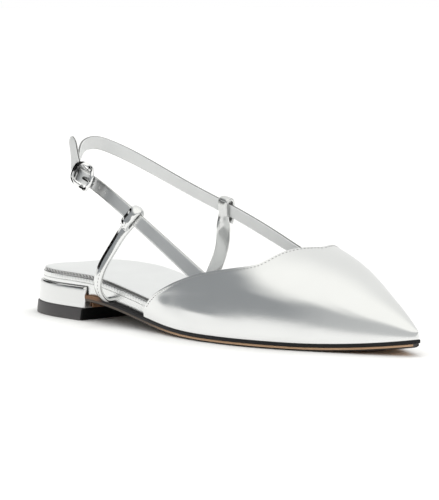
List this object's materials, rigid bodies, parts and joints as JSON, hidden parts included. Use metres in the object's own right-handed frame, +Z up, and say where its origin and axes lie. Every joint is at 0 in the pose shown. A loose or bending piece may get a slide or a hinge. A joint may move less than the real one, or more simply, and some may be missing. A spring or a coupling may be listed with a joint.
{
  "type": "slingback shoe",
  "caption": "Flat pointed slingback shoe in mirror-silver leather with a low block heel, side stays that hold the sling up and a small buckle on the outer side.",
  "frame": {"origin": "middle of the shoe's outline in plan, on the floor", "axes": "+X from the heel to the toe, +Y to the inner (medial) side of the right foot, +Z up"},
  "size_m": [0.263, 0.074, 0.0945],
  "materials": {
    "tan_leather": "smooth natural sole leather",
    "black_edge": "painted and burnished edge",
    "black_rubber": "satin rubber",
    "heel_leather": "mirror-silver leather cover",
    "breast_leather": "matt sole leather",
    "insole_leather": "silver leather wrapped over a board",
    "sock_leather": "soft silver lining leather",
    "vamp_leather": "mirror-silver leather",
    "strap_leather": "mirror-silver leather with a pale lining",
    "buckle_metal": "polished"
  },
  "bodies": {
    "root": {"outsole": "tan_leather", "midsole": "black_edge", "heel_lift": "black_rubber", "heel_block": "heel_leather", "breast_cover": "breast_leather", "insole": "insole_leather", "sock": "sock_leather", "vamp": "vamp_leather", "sling_strap": "strap_leather", "buckle_strap": "strap_leather", "stay_lateral": "strap_leather", "stay_medial": "strap_leather", "buckle_frame": "buckle_metal", "buckle_prong": "buckle_metal"}
  },
  "joints": []
}
